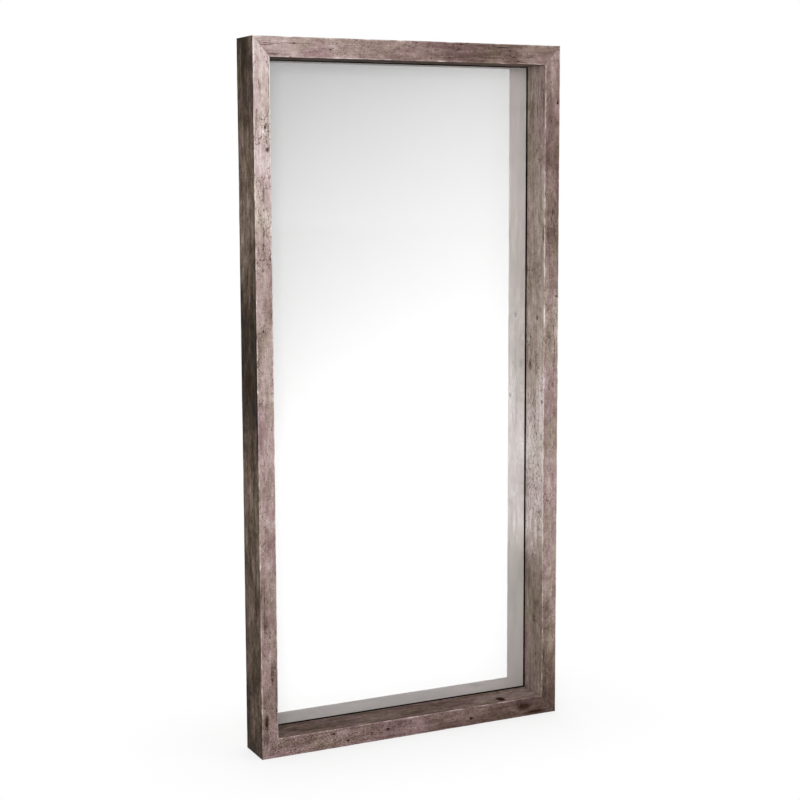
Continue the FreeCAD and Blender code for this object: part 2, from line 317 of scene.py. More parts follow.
ROSY_WOOD = even_stops(
    (35, 27, 26), (61, 47, 44), (99, 78, 76), (141, 118, 117), (181, 162, 161), (220, 210, 210))
OLIVE_WOOD = even_stops(
    (34, 28, 20), (63, 52, 39), (99, 86, 71), (139, 126, 112), (179, 167, 156), (220, 210, 203))
PITCH = colour(42, 25, 14)
DRY_WOOD_SHINE = 0.03
TIMBER_RELIEF = 0.5 * MM

# %% Numbers along a board
WANDER_SHARE = 0.09


def board_ends(grain):
    """Where an upright or a level board starts and ends."""
    return (0.0, HEIGHT) if grain == Z else (-HALF_WIDTH, HALF_WIDTH)


def along_board(bench, stops):
    """A number that changes from one end of a board to the other, given at shares of the length. The
    share wanders a little, so that no change runs straight across."""
    start, end = board_ends(bench.grain)
    share = (bench.part(bench.coordinates(), bench.grain) - start) / (end - start)
    wander = bench.noise(22.0, 9.0, 3.1, 2.0)
    greys = [(place, grey(value)) for place, value in stops.items()]
    return bench.ramp(greys, share + wander.swing(WANDER_SHARE))


def lightness_with_painted_light(bench, *stops_of_sides):
    """How light the wood is before its marks, from the numbers of the side that the point is on. Those
    numbers hold painted highlights and painted shade as well as the wood's own tone.
    """
    face, wall, side = [along_board(bench, stops) for stops in stops_of_sides]
    plain = bench.blend(bench.stored("inner_wall"), face, wall)
    return bench.red(bench.blend(bench.stored("outer_side"), plain, side))


# %% Grain, splits and saw marks
# A wave texture of scale 1 repeats after this many metres.
WAVE_PERIOD = 2 * math.pi / 20
RINGS_APART = 3.4 * MM
HEART_DISTANCE = 0.055
HEART_SHIFT = 0.0004
SAW_MARKS_APART = 3.1 * MM


def waves(bench, place, apart, bending, detail_scale, roughness, **settings):
    """Rings or bands this far apart, bent by a finer noise."""
    inputs = {"Vector": place, "Scale": WAVE_PERIOD / apart, "Distortion": bending, "Detail": 5.0}
    inputs |= {"Detail Scale": detail_scale, "Detail Roughness": roughness}
    return bench.node("ShaderNodeTexWave", settings, inputs, "Fac")


def growth_rings(bench, seed):
    """Rises from 0 to 1 across each year's ring, then drops. The rings lie round the heart of the log,
    which is a line along the board, a few centimetres outside it."""
    place = bench.place(1.0, 0.035, HEART_DISTANCE + seed * HEART_SHIFT)
    settings = {"wave_type": "RINGS", "rings_direction": "XYZ"[bench.grain], "wave_profile": "SAW"}
    return waves(bench, place, RINGS_APART, 11.0, 0.5, 0.55, **settings)


def saw_marks(bench, seed):
    """Fine waves and rough scratches across the board, where the saw's marks were not sanded off, and
    0.5 elsewhere."""
    place = bench.place(0.2, 1.0, seed)
    settings = {"wave_type": "BANDS", "bands_direction": "XYZ"[bench.grain], "wave_profile": "SIN"}
    wave = waves(bench, place, SAW_MARKS_APART, 9.0, 1.5, 0.75, **settings)
    scratch = bench.noise(19.0, 430.0, seed + 33.0, 5.0, 0.7)
    left = bench.noise(14.0, 6.0, seed + 31.0).step(0.42, 0.62)
    return (wave.swing(0.2) + scratch.swing(0.9)) * left + 0.5


def splits(bench, seed):
    """Thin dark splits along the grain. A soft noise is 0.5 along lines, and a split follows them."""
    line = abs(bench.noise(62.0, 2.4, seed + 41.0, 5.0, 0.55, 0.3) - 0.5)
    opened = bench.noise(30.0, 5.0, seed + 43.0).step(0.5, 0.6)
    return line.step(0.013, 0.0) * opened


# %% Cracks and pits
SWAY_FINENESS = 1.8
SWAY = 0.9
PIT_RIM = 0.3
PIT_FLOOR = 0.1
PALE_WOOD = 0.78


def cracks(bench, across, along, shift, width):
    """1 on the lines between cells, 0 off them. The cells are bent by a finer noise, so that no line
    runs straight."""
    finer = bench.place(across * SWAY_FINENESS, along * SWAY_FINENESS, shift)
    inputs = {"Vector": finer, "Scale": 1.0, "Detail": 2.0}
    noise = bench.node("ShaderNodeTexNoise", {}, inputs, "Color")
    sway = bench.vector("SCALE", {0: noise, "Scale": SWAY})
    bent = bench.vector("ADD", {0: bench.place(across, along, shift), 1: sway})
    return bench.cells(bent, feature="DISTANCE_TO_EDGE").step(width, 0.0)


def crackling(bench, seed, light):
    """The coarse and the fine cracks. Both come in patches, above all where the wood is pale, and the
    coarse ones are broken off here and there."""
    patches = (bench.noise(22.0, 12.0, seed + 13.0) + (light - PALE_WOOD) * 0.6).step(0.44, 0.6)
    broken = bench.noise(160.0, 90.0, seed + 3.0).step(0.36, 0.56)
    coarse = cracks(bench, 90.0, 48.0, seed, 0.06) * patches * broken
    fine = cracks(bench, 230.0, 130.0, seed + 2.0, 0.07) * (patches * 0.7 + 0.3)
    return coarse, fine


def pits(bench, across, along, shift, share):
    """Small round spots, in this share of the cells. A cell's own random number says if it has one."""
    place = bench.place(across, along, shift)
    chance = bench.red(bench.cells(place, "Color"))
    return bench.cells(place).step(PIT_RIM, PIT_FLOOR) * chance.step(1.0 - share, 1.04 - share)


# %% The timber material
WALL_OLIVE = 0.22
OUTER_OLIVE = 0.45
OUTER_CONTRAST = 0.4
SPLIT_DARKNESS = 0.3
LATEWOOD_DARKNESS = 0.08
CRACKLE_DARKNESS = 0.46
PIT_DARKNESS = 0.4


def wood_colour(bench, seed, light, rose, mark):
    """The colour of wood this light: olive or rosy as a broad noise says, the rosier the larger the
    board's rose is, and dark pitch in a mark."""
    flush = bench.noise(24.0, 8.0, seed + 21.0, 4.0, 0.6, 0.5).swing(2.4) + rose
    flush = flush - bench.stored("inner_wall") * WALL_OLIVE - bench.stored("outer_side") * OUTER_OLIVE
    wood = bench.blend(flush, bench.ramp(OLIVE_WOOD, light), bench.ramp(ROSY_WOOD, light))
    return bench.blend(mark, wood, PITCH)


def old_timber(name, grain, seed, rose, face, wall, side, crazed):
    """Weathered boards: the lightness of each side, painted highlights and shade included, plus or minus
    each mark's own noise. The last four are numbers along the board: how light each side is, with its
    painted light, and how crazed the face is."""
    bench = new_material(name, grain)
    light = lightness_with_painted_light(bench, face, wall, side)
    crackle, hair_cracks = crackling(bench, seed, light)
    streak = bench.noise(85.0, 6.0, seed, 8.0, 0.65, 0.6)
    fibre = bench.noise(900.0, 40.0, seed, 5.0, 0.65, 0.8)
    patch = bench.noise(20.0, 9.0, seed + 5.0, 5.0, 0.6, 0.6)
    blot = bench.noise(62.0, 32.0, seed + 7.0, 5.0, 0.6, 0.4)
    mottle = bench.noise(150.0, 90.0, seed + 9.0, 8.0, 0.72)
    latewood = growth_rings(bench, seed) ** 3.0
    saw = saw_marks(bench, seed)
    split = splits(bench, seed)
    pit = pits(bench, 210.0, 105.0, seed + 17.0, 0.2)

    pattern = streak.swing(0.34) + fibre.swing(0.2) + patch.swing(0.5)
    pattern = pattern + blot.swing(0.38) + mottle.swing(0.42)
    light = light + pattern * (bench.stored("outer_side") * OUTER_CONTRAST + 1.0)
    light = light + saw.swing(0.2) - latewood * LATEWOOD_DARKNESS - split * SPLIT_DARKNESS
    nibbled = bench.noise(150.0, 55.0, seed + 27.0, 6.0, 0.7).step(0.4, 0.62)
    # Rubbed edges are lighter: partly wear, partly a painted highlight along the arrises.
    light = light + bench.stored("worn_edge_and_highlight") * (nibbled * 0.22 + 0.08)
    crazed = along_board(bench, crazed) - bench.stored("inner_wall") - bench.stored("outer_side")
    crazed = crazed.kept()
    speckle = bench.noise(330.0, 230.0, seed + 15.0, 3.0, 0.7)
    light = light - crackle * CRACKLE_DARKNESS - hair_cracks * (crazed * 0.6 + 0.12) - pit * PIT_DARKNESS
    light = light + crazed * (speckle.swing(1.0) + 0.07)

    mark = bench.stored("mark") * (blot.swing(1.4) + mottle.swing(1.2) + 1.0)
    dullness = 0.66 + mottle.swing(0.4) - blot.swing(0.25) + crackle * 0.2 + mark * 0.3
    relief = streak * 0.3 + fibre * 0.3 + saw * 0.2 + mottle * 0.35 - latewood * 0.15
    relief = relief - crackle * 0.5 - pit * 0.7 - split * 0.9 - hair_cracks * 0.1
    return bench.finish(
        Base_Color=wood_colour(bench, seed, light, rose, mark),
        Roughness=dullness.kept(0.4, 0.98),
        Specular_IOR_Level=DRY_WOOD_SHINE,
        Normal=bench.bump(relief, TIMBER_RELIEF),
    )


# %% [markdown]
# ## A board as one surface
#
# A board is its section carried along its length. The section has eight corners: the outer and inner
# front edges, the lip, the two stepped rebates for the glass and the back panel, and the two back
# edges. The eased corners are quarter circles whose radius changes along the board, where hands and
# years have worn it. Soft noise, dents, nail holes and knots press the skin inwards, and the grid is
# closer round each hole and knot, so that they are real hollows and not paint.

# %% Noise for the meshes
# Large numbers that turn a cell's place into a number that looks random
PLACE_PRIMES = (73856093, 19349663, 83492791)
SEED_PRIME = 7919
SCRAMBLER = 1274126177
LOW_BITS = 0xFFFF


def lattice_noise(points, cell, seed):
    """Smooth random numbers from 0 to 1.

    Each corner of a grid of cells has its own random number, worked out from its whole-number place,
    and a point gets the eased average of the eight around it.
    """
    scaled = points / np.asarray(cell)
    base = np.floor(scaled).astype(np.int64)
    part = scaled - base
    ease = part * part * (3 - 2 * part)
    total = np.zeros(points.shape[:-1])
    for corner in itertools.product((0, 1), repeat=3):
        key = (base + np.array(corner)) * np.array(PLACE_PRIMES)
        number = key[..., 0] ^ key[..., 1] ^ key[..., 2] ^ (seed * SEED_PRIME)
        number = (number ^ (number >> 13)) * SCRAMBLER
        random = ((number ^ (number >> 16)) & LOW_BITS) / LOW_BITS
        total += random * np.prod(np.where(corner, ease, 1 - ease), axis=-1)
    return total


# %% Stations along a line
CLOSER_SHARES = (-1.6, -1.15, -0.85, -0.5, -0.2, 0.2, 0.5, 0.85, 1.15, 1.6)
LEAST_STEP = 0.15 * MM


def stations(start, end, spacing, marks=()):
    """Places from start to end, evenly spaced, with closer ones round each (centre, half size) mark."""
    count = max(int(round((end - start) / spacing)), 1)
    places = [np.linspace(start, end, count + 1)]
    places += [centre + half_size * np.array(CLOSER_SHARES) for centre, half_size in marks]
    places = np.sort(np.concatenate(places))
    places = places[(places >= start) & (places <= end)]
    keep = np.append(np.diff(places) > LEAST_STEP, True)
    return places[keep]


# %% The section of a board
# Each side of the section has a name. A side starts at the corner of the same place in the list.
SIDES = ("face", "inner_wall", "ledge", "glass_wall", "panel_ledge", "panel_wall", "back", "outer_side")
SHOWN_SIDES = ("face", "inner_wall", "back", "outer_side")
DEEP_SIDES = ("inner_wall", "outer_side")
CORNER_REACH = 3 * MM
WEAR_REACH = 1.8 * MM
ARC_STEPS = 7
FINE = 3.6 * MM
COARSE = 9 * MM


def board_section(face_width, marks):
    """The section as arrays: places, their pull as their corner's radius grows, outward normals, how
    near each is to a worn corner, and the number of the side that it is on.

    A worn corner is a quarter circle. Its point at angle t lies at the corner plus the radius times
    (1 - sin t) back along the side before and (1 - cos t) forward along the side after.
    """
    glass_wall = face_width - PANE_OVERLAP
    panel_wall = face_width - PANEL_OVERLAP
    corners = np.array([
        (0, FRONT), (face_width, FRONT), (face_width, LEDGE), (glass_wall, LEDGE),
        (glass_wall, PANEL_LEDGE), (panel_wall, PANEL_LEDGE), (panel_wall, BACK), (0, BACK),
    ])
    is_worn = (True, True, False, False, False, False, False, True)
    forward = np.roll(corners, -1, axis=0) - corners
    lengths = np.linalg.norm(forward, axis=1)
    forward = forward / lengths[:, None]
    outward = np.stack([forward[:, 1], -forward[:, 0]], axis=1)
    stretches = []
    for number, side in enumerate(SIDES):
        following = (number + 1) % len(SIDES)
        if is_worn[number]:
            angle = np.linspace(0, math.pi / 2, ARC_STEPS)[:, None]
            stretches.append((
                np.repeat(corners[number][None], ARC_STEPS, axis=0),
                -forward[number - 1] * (1 - np.sin(angle)) + forward[number] * (1 - np.cos(angle)),
                outward[number - 1] * np.cos(angle) + outward[number] * np.sin(angle),
                np.ones(ARC_STEPS),
                np.where(angle[:, 0] > math.pi / 4, number, (number - 1) % len(SIDES)),
            ))
        start = CORNER_REACH if is_worn[number] else 0.0
        end = lengths[number] - (CORNER_REACH if is_worn[following] else 0.0)
        axis = 1 if side in DEEP_SIDES else 0
        origin, direction = corners[number][axis], forward[number][axis]
        here = [mark for mark in marks if mark["side"] == side]
        closer = [((mark["across"] - origin) / direction, mark["half_width"]) for mark in here]
        steps = stations(start, end, FINE if side in SHOWN_SIDES else COARSE, closer)
        if not is_worn[following]:
            steps = steps[:-1]
        count = len(steps)
        # A sharp corner is never rubbed, so it counts as a metre away.
        from_start = steps if is_worn[number] else np.ones(count)
        from_end = lengths[number] - steps if is_worn[following] else np.ones(count)
        stretches.append((
            corners[number] + forward[number] * steps[:, None],
            np.zeros((count, 2)),
            np.repeat(outward[number][None], count, axis=0),
            np.exp(-(np.minimum(from_start, from_end) / WEAR_REACH) ** 2),
            np.full(count, number),
        ))
    return [np.concatenate(arrays) for arrays in zip(*stretches)]


# %% A mesh from a grid
SHARP_ANGLE = math.radians(38)


def add_mesh(name, points, faces, material):
    """A mesh object from points and faces."""
    mesh = bpy.data.meshes.new(name)
    mesh.from_pydata(np.asarray(points).reshape(-1, 3).tolist(), [], faces)
    mesh.materials.append(material)
    return new_object(name, mesh)


def add_piece(name, points, faces, material, body, stored=None):
    """A piece that rides on a body, with numbers stored at the points of its grid."""
    piece = add_mesh(name, points, faces, material)
    for key, values in (stored or {}).items():
        layer = piece.data.attributes.new(key, "FLOAT", "POINT")
        layer.data.foreach_set("value", np.broadcast_to(values, points.shape[:-1]).ravel())
    piece.data.shade_smooth()
    piece.data.set_sharp_from_angle(angle=SHARP_ANGLE)
    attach(piece, body)
    return piece


def grid_faces(rows, columns, flipped=False, is_loop=False):
    """The faces of a grid whose last row joins its first. In a loop the last column joins the first as
    well, and otherwise two many-sided faces close the ends."""
    last_column = columns if is_loop else columns - 1
    row, column = np.meshgrid(np.arange(rows), np.arange(last_column), indexing="ij")
    next_row = (row + 1) % rows
    next_column = (column + 1) % columns
    faces = np.stack([
        row * columns + column, next_row * columns + column,
        next_row * columns + next_column, row * columns + next_column,
    ], axis=-1).reshape(-1, 4).tolist()
    if not is_loop:
        first = np.arange(rows) * columns
        faces += [first[::-1].tolist(), (first + columns - 1).tolist()]
    return [face[::-1] for face in faces] if flipped else faces


# %% Wear, dents and marks on a board
# A noise's cell is given across, deep and along.
LEAST_WEAR = 0.9 * MM
CHIP_WEAR = 0.9 * MM
CHIP_CELL = (1.0, 1.0, 26 * MM)
NIBBLE_WEAR = 0.3 * MM
NIBBLE_CELL = (1.0, 1.0, 7 * MM)
BROAD_HOLLOWS = 0.32 * MM
BROAD_CELL = (16 * MM, 16 * MM, 120 * MM)
FINE_HOLLOWS = 0.16 * MM
FINE_CELL = (5 * MM, 5 * MM, 30 * MM)
DENTS = 26
DENT_WIDTHS = (3, 7)
DENT_DEPTHS = (0.2, 0.5)
DENT_STRETCH = 1.8
MARK_REACH = 1.35
MARK_STEEPNESS = 2.2


def corner_radius(flat, seed):
    """The radius of the worn corners at each point: a least one, more in chips and small nibbles."""
    chips = lattice_noise(flat, CHIP_CELL, seed + 1)
    nibbles = lattice_noise(flat, NIBBLE_CELL, seed + 2)
    return LEAST_WEAR + CHIP_WEAR * chips ** 2 + NIBBLE_WEAR * nibbles ** 3


def worn_depth(flat, face_width, low, high, seed):
    """How deep the surface has sunk at each point: two soft noises, and dents at random places, many
    of them on the arrises. A dent's depth falls as exp(-(distance / width) squared)."""
    sink = BROAD_HOLLOWS * lattice_noise(flat, BROAD_CELL, seed + 3)
    sink += FINE_HOLLOWS * lattice_noise(flat, FINE_CELL, seed + 4)
    randoms = np.random.default_rng(seed)
    for _ in range(DENTS):
        centre = np.array([
            randoms.choice([0.0, face_width, randoms.uniform(0, face_width)]),
            randoms.choice([FRONT, randoms.uniform(FRONT, BACK)]),
            randoms.uniform(low, high),
        ])
        width = randoms.uniform(*DENT_WIDTHS) * MM
        distance = np.linalg.norm((flat - centre) / (1, 1, DENT_STRETCH), axis=-1)
        sink += randoms.uniform(*DENT_DEPTHS) * MM * np.exp(-(distance / width) ** 2)
    return sink


def pressed_marks(marks, places, sides, run):
    """How deep and how dark the marks are at each point. A mark is whole inside its ellipse, and
    fades to nothing a little outside it."""
    depth = np.zeros(run.shape)
    stain = np.zeros(run.shape)
    for mark in marks:
        is_here = (sides == SIDES.index(mark["side"]))[:, None]
        across = places[:, 1 if mark["side"] in DEEP_SIDES else 0][:, None]
        off_across = (across - mark["across"]) / mark["half_width"]
        off_along = (run - mark["along"]) / mark["half_length"]
        hollow = np.clip(MARK_REACH - np.hypot(off_across, off_along), 0, 1) * is_here
        depth += mark["depth"] * np.clip(hollow * MARK_STEEPNESS, 0, 1)
        stain = np.maximum(stain, mark["dark"] * np.clip(hollow * mark["edge"], 0, 1))
    return depth, stain


# %% The board maker
END_GAP = 0.12 * MM
ALONG_SPACING = 5 * MM
# How much lighter the rubbed edges are, as wear and as a painted highlight along the arrises.
EDGE_WEAR_AND_HIGHLIGHT = 1.6
EDGE_WEAR_AND_HIGHLIGHT_CELL = (40 * MM, 40 * MM, 24 * MM)


def make_board(name, grain, seed, marks, material):
    """One mitred board, as a skin over its node.

    A point is given by its distance in from the outer side, its depth, and its place along the board.
    The two ends slope by the other board's face over this one's. The dictionary of points puts the
    board in its own place.
    """
    face, next_face = (STILE_FACE, RAIL_FACE) if grain == Z else (RAIL_FACE, STILE_FACE)
    places, pulls, normals, wear, sides = board_section(face, marks)

    def on(*names):
        """1 on these sides and 0 on the others."""
        return np.isin(sides, [SIDES.index(side) for side in names])[:, None] * 1.0

    low, high = board_ends(grain)
    closer = [(mark["along"], mark["half_length"]) for mark in marks]
    along = stations(low, high, ALONG_SPACING, closer)
    inset = places[:, :1] * (next_face / face) + END_GAP
    share = (along - low) / (high - low)
    run = (low + inset) + (high - low - 2 * inset) * share
    flat = np.stack(np.broadcast_arrays(places[:, :1], places[:, 1:], run), axis=-1)
    depth, stain = pressed_marks(marks, places, sides, run)
    sink = worn_depth(flat, face, low, high, seed) + depth
    skin = flat[..., :2] + pulls[:, None] * corner_radius(flat, seed)[..., None]
    skin = skin - normals[:, None] * (sink * on(*SHOWN_SIDES))[..., None]

    inward, back = skin[..., 0], skin[..., 1]
    points = {
        "left_stile": (inward - HALF_WIDTH, back, run),
        "right_stile": (HALF_WIDTH - inward, back, run),
        "bottom_rail": (run, back, inward),
        "top_rail": (run, back, HEIGHT - inward),
    }[name]
    flipped = name in ("right_stile", "bottom_rail")
    rows, columns = run.shape
    faces = grid_faces(rows, columns, flipped)
    stored = {
        # Rubbed edges: wear, and a painted highlight along the arrises.
        "worn_edge_and_highlight": wear[:, None] * lattice_noise(flat, EDGE_WEAR_AND_HIGHLIGHT_CELL, seed + 6) * EDGE_WEAR_AND_HIGHLIGHT,
        "mark": stain,
        "inner_wall": on("inner_wall"),
        "outer_side": on("outer_side", "back"),
    }
    points = np.stack(points, axis=-1)
    piece = add_piece(name + "_skin", points, faces, material, "frame", stored)
    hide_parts(name)
    print(name, rows, "by", columns, "points,", len(faces), "faces")


# %% [markdown]
# ## Marks in the wood
#
# Old nail holes and worm holes, knots and dark stains lie where the photograph shows them.

# %% Marks
HOLE_SIZES = (2.3, 2.7, 2.5)
HOLE_DARKNESS = 0.95
HOLE_EDGE = 1.8


def mark(side, across, along, half_width, half_length, depth, dark, edge=1.3):
    """A hollow or stain on a side of a board, from its place across the side and along the board, its
    half sizes and its depth in millimetres. The larger its edge, the sharper it is."""
    return {
        "side": side, "across": across * MM, "along": along * MM, "half_width": half_width * MM,
        "half_length": half_length * MM, "depth": depth * MM, "dark": dark, "edge": edge,
    }


def nail_holes(side, *holes):
    """Holes that nails and beetles left, each from its place across and along the board and its size.
    A hole of size 1 is about 5 mm wide."""
    return [
        mark(side, across, along, *(size * plain for plain in HOLE_SIZES), HOLE_DARKNESS, HOLE_EDGE)
        for across, along, size in holes
    ]


LEFT_STILE_MARKS = [
    *nail_holes("face", (28, 1450, 1.3), (33, 1400, 1.4)),
    *nail_holes("face", (17, 995, 0.7), (20, 1191, 0.7), (18, 1132, 0.6)),
    *nail_holes("outer_side", (-20, 1516, 1.3), (21, 610, 1)),
    mark("face", 17, 539, 4, 7, 0.1, 0.35),
    mark("face", 12, 89, 5, 18, 0.3, 0.8),
    mark("outer_side", 2, 868, 22, 30, 0.3, 0.35),
]
RIGHT_STILE_MARKS = [
    *nail_holes("face", (6, 1515, 1.2), (6.5, 1048, 0.7), (20, 1094, 0.6)),
    *nail_holes("inner_wall", (-38.5, 788, 1.8), (-16, 144, 1.1), (-18, 124, 0.9), (-13.5, 994, 1.9)),
    *nail_holes("outer_side", (12, 1180, 1)),
    mark("inner_wall", 17, 875, 7, 13, 0.3, 0.6),
]
TOP_RAIL_MARKS = [
    *nail_holes("face", (14, -294, 0.9), (26, -206, 0.8), (16, 118, 0.8)),
    *nail_holes("outer_side", (5, 90, 1)),
]
BOTTOM_RAIL_MARKS = [
    *nail_holes("face", (34.5, -214, 1.1), (13, -177, 1.1), (24.5, -72, 1.25), (17, 155, 1.4)),
    mark("face", 26, 303, 9, 20, 0.2, 0.85),
    mark("face", 9, 339, 4, 24, 0.2, 1.0),
    mark("inner_wall", -25, 250, 13, 9, 0.4, 1.2, 2.0),
]

# %% The four boards
make_board("left_stile", Z, 11, LEFT_STILE_MARKS, old_timber(
    "left_stile_timber", Z, 1.0, rose=0.75,
    # The face grows lighter towards the top: a painted highlight, a sheen of light there.
    face={0: 0.5, 0.2: 0.555, 0.36: 0.66, 0.46: 0.61, 0.65: 0.7, 0.75: 0.77, 0.85: 0.83, 1: 0.82},
    wall={0: 0.5, 0.5: 0.7, 1: 0.55},
    side={0: 0.2, 0.2: 0.33, 0.36: 0.39, 0.53: 0.11, 0.6: 0.15, 0.74: 0.42, 0.86: 0.39, 1: 0.17},
    crazed={0: 0.7, 0.15: 0.3, 0.6: 0.2, 0.72: 0.1, 1: 0},
))
make_board("right_stile", Z, 23, RIGHT_STILE_MARKS, old_timber(
    "right_stile_timber", Z, 41.0, rose=0.6,
    face={
        0: 0.26, 0.04: 0.32, 0.08: 0.44, 0.17: 0.61, 0.27: 0.58, 0.36: 0.63, 0.46: 0.54,
        0.57: 0.65, 0.65: 0.56, 0.75: 0.45, 0.85: 0.43, 1: 0.61,
    },
    # The inner wall is lightest from 0.28 to 0.52 of the height: a painted highlight, a glare of light there.
    wall={
        0: 0.6, 0.2: 0.54, 0.28: 0.9, 0.42: 0.97, 0.52: 0.77,
        0.65: 0.67, 0.75: 0.72, 0.86: 0.65, 1: 0.61,
    },
    side={0: 0.3, 0.25: 0.4, 0.5: 0.24, 0.8: 0.36, 1: 0.26},
    crazed={0: 0, 0.15: 0.4, 0.3: 0.2, 0.65: 0.4, 0.75: 0, 1: 0.1},
))
make_board("top_rail", X, 37, TOP_RAIL_MARKS, old_timber(
    "top_rail_timber", X, 73.0, rose=0.6,
    face={0: 0.69, 0.3: 0.63, 0.45: 0.56, 0.68: 0.38, 0.82: 0.44, 0.9: 0.61, 1: 0.53},
    # The inner wall is the rail's underside. Its numbers, far below the face's, are painted shade under the rail.
    wall={0: 0.31, 0.35: 0.17, 0.5: 0.23, 0.7: 0.25, 1: 0.45},
    side={0: 0.4, 0.4: 0.28, 1: 0.36},
    crazed={0: 0.1, 0.35: 0.4, 0.5: 0.3, 0.65: 0, 1: 0},
))
make_board("bottom_rail", X, 53, BOTTOM_RAIL_MARKS, old_timber(
    "bottom_rail_timber", X, 97.0, rose=0.8,
    face={0: 0.46, 0.2: 0.46, 0.34: 0.4, 0.5: 0.52, 0.7: 0.41, 1: 0.29},
    wall={0: 0.48, 0.35: 0.46, 0.5: 0.37, 0.7: 0.43, 0.86: 0.58, 1: 0.61},
    side={0: 0.25, 1: 0.3},
    crazed={0: 1, 0.3: 0.9, 0.45: 0.4, 0.7: 0.2, 1: 0.3},
))

# %% [markdown]
# ## The mirror
#
# The silver lies on the back of the pane, so from the front it seems to stand about a third of the
# glass's thickness nearer than it does. The reflecting surface is put there, inside a thin rim that
# keeps the real glass's edge. The dark line round the mirror is the shade in the gap between the frame's
# lip and the silver, seen twice over. It is painted shade here: the glass is painted near black under the
# lip and just past it. A fine haze makes what the glass reflects paler than it is.

# %% The mirror's finish
SHADED_RIM = 2.6 * MM
CLEAR_SHARE = 0.69
HAZE_SWING = 0.03
WIPING_MARKS = 0.02
GLASS_SHINE = 0.1
SILVER = colour(254, 254, 254)
# Painted shade: the near black that the glass is given under the frame's lip.
PAINTED_LIP_SHADE = colour(16, 13, 11)


def silvered_glass():
    """Silver under slightly hazy glass, with faint wiping marks, and painted shade, near black, under the
    frame's lip and just past it.
    """
    bench = new_material("silvered_glass", X)
    wipe = bench.noise(9.0, 3.0, 4.0, 3.0, 0.5, 1.2)
    haze = bench.noise(2.2, 2.2, 8.0, 2.0)
    across, height = [bench.part(bench.coordinates(), axis) for axis in (X, Z)]
    to_stile = (HALF_WIDTH - STILE_FACE) - abs(across)
    to_rail = (HEIGHT / 2 - RAIL_FACE) - abs(height - HEIGHT / 2)
    # Painted shade on the glass: near black within a band along the lip, fading out just past it.
    painted_shade = to_stile.at_most(to_rail).step(SHADED_RIM, SHADED_RIM * 0.7)
    return bench.finish(
        Base_Color=bench.blend(painted_shade, SILVER, PAINTED_LIP_SHADE),
        Metallic=(CLEAR_SHARE + haze.swing(HAZE_SWING)).kept(),
        Roughness=(wipe * WIPING_MARKS).kept(),
        Specular_IOR_Level=GLASS_SHINE,
    )


# %% The mirror's surface
GLASS_BENDING = 1.5
RIM_WIDTH = 3 * MM
BEVEL = 0.6 * MM


def make_mirror(material):
    """The pane as rings carried round its rectangle.

    Each ring is the rectangle drawn in by a distance, at a depth. From the back's middle the rings go
    out over the back, round the bevelled edge, in over the rim, and down to the silver.
    """
    silver = pane_low[Y] + (pane_high[Y] - pane_low[Y]) / GLASS_BENDING
    rings = [
        (RIM_WIDTH, pane_high[Y]), (0.0, pane_high[Y]), (0.0, pane_low[Y] + BEVEL), (BEVEL, pane_low[Y]),
        (RIM_WIDTH, pane_low[Y]), (RIM_WIDTH, silver),
    ]
    signs = np.array([(-1, -1), (1, -1), (1, 1), (-1, 1)])[:, None]
    low, high = [np.array([corner[X], corner[Z]]) for corner in (pane_low, pane_high)]
    inset, depth = np.array(rings).T[..., None]
    flat = (high + low) / 2 + signs * ((high - low) / 2 - inset)
    points = np.insert(flat, 1, depth.T, axis=-1)
    faces = grid_faces(4, len(rings), flipped=True)
    piece = add_piece("mirror_pane", points, faces, material, "frame")
    piece.data.shade_flat()
    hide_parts("mirror_glass")
    return piece


mirror = make_mirror(silvered_glass())
print("mirror", len(mirror.data.polygons), "faces")

# %% [markdown]
# ## Steel, rubber, foam and board
#
# The fittings on the back keep their solids, which are already the right shape. They get finishes with
# the marks that such parts have.

# %% Metals
def zinc_steel():
    """Bright zinc plate: a grey metal with cloudy crystals and fine scratches."""
    bench = new_material("zinc_steel")
    crystal = bench.red(bench.cells(bench.place(260.0, 260.0, 0.0), "Color"))
    scratch = bench.noise(2400.0, 90.0, 2.0, 2.0)
    dull = bench.noise(60.0, 60.0, 6.0, 4.0)
    cloudy = crystal * 0.5 + dull * 0.5
    return bench.finish(
        Base_Color=bench.blend(cloudy, colour(168, 170, 170), colour(206, 207, 205)),
        Metallic=0.95,
        Roughness=(0.32 + dull * 0.2 + scratch * 0.08).kept(),
        Normal=bench.bump(scratch * 0.4 + dull * 0.6, 0.05 * MM),
    )


def nickel_steel():
    """Rubbed nickel plate, warmer than zinc, duller where it was handled."""
    bench = new_material("nickel_steel")
    rub = bench.noise(140.0, 60.0, 3.0, 4.0, 0.6)
    scratch = bench.noise(1800.0, 120.0, 5.0, 2.0)
    return bench.finish(
        Base_Color=bench.blend(rub.step(0.35, 0.7), colour(176, 168, 154), colour(206, 200, 188)),
        Metallic=1.0,
        Roughness=(0.22 + rub * 0.26).kept(),
        Normal=bench.bump(scratch * 0.5 + rub * 0.5, 0.04 * MM),
    )


# %% Rubber and board
BLACK = colour(22, 22, 22)
DUSTY = colour(70, 68, 66)
PALE_FIBRE = colour(164, 137, 108)
DARK_FIBRE = colour(98, 76, 56)


def matte_rubber(name, grain_size):
    """Black rubber or foam with a fine grain and a little dust on it."""
    bench = new_material(name)
    grain = bench.noise(grain_size, grain_size, 1.0, 3.0, 0.7)
    dust = bench.noise(70.0, 70.0, 7.0, 4.0).step(0.45, 0.8)
    return bench.finish(
        Base_Color=bench.blend(dust * 0.5 + grain * 0.2, BLACK, DUSTY),
        Roughness=(0.78 + grain * 0.16).kept(),
        Normal=bench.bump(grain, 0.12 * MM),
    )


